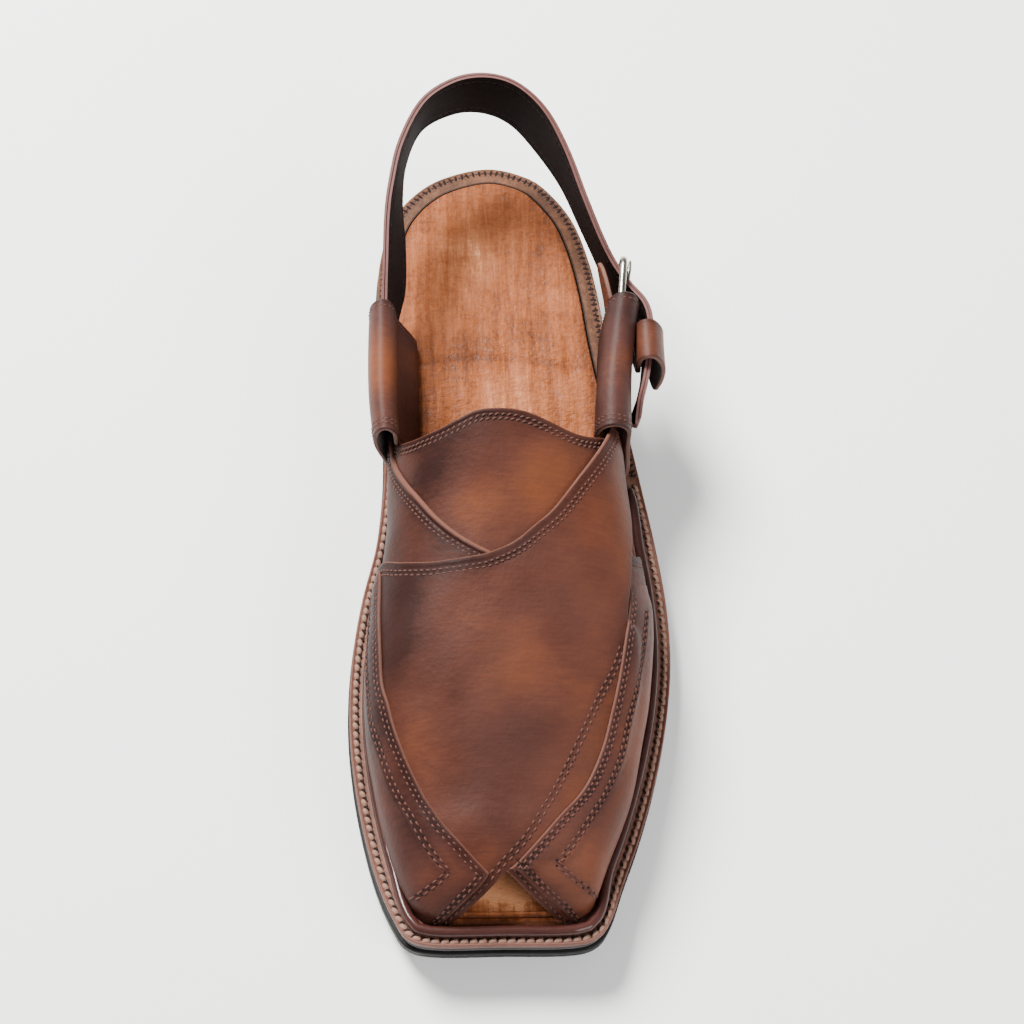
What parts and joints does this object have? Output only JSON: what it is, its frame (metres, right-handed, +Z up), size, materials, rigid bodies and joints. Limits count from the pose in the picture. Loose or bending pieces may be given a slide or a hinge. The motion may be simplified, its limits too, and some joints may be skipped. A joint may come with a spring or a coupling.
{
  "type": "peshawari chappal",
  "caption": "Left leather sandal with a closed, stitched vamp, small open toe, folded side ears and a buckled heel strap on a welted sole with a low heel",
  "frame": {"origin": "on the floor under the centre of the heel block", "axes": "+Z up, toe toward -Y, heel toward +Y, lateral side toward +X"},
  "size_m": [0.1151, 0.3114, 0.0813],
  "materials": {
    "outsole_rubber": "matt moulded rubber",
    "heel_rubber": "matt moulded rubber",
    "midsole_leather": "burnished edge",
    "welt_leather": "waxed, stitched all round",
    "insole_leather": "smooth lining leather",
    "rand_leather": "glossy dyed leather",
    "upper_leather": "polished, burnished brown",
    "ear_medial_leather": "polished, burnished brown",
    "ear_lateral_leather": "polished, burnished brown",
    "strap_leather": "dark brown with raw edges",
    "keeper_leather": "polished brown",
    "guard_leather": "red-brown, raw edges",
    "buckle_metal": "plated wire",
    "prong_metal": "plated wire"
  },
  "bodies": {
    "root": {"outsole": "outsole_rubber", "heel": "heel_rubber", "midsole": "midsole_leather", "welt": "welt_leather", "insole": "insole_leather", "rand": "rand_leather", "upper": "upper_leather", "ear_medial": "ear_medial_leather", "ear_lateral": "ear_lateral_leather", "heel_strap": "strap_leather", "keeper": "keeper_leather", "buckle_guard": "guard_leather", "buckle_frame": "buckle_metal", "buckle_prong": "prong_metal"}
  },
  "joints": []
}
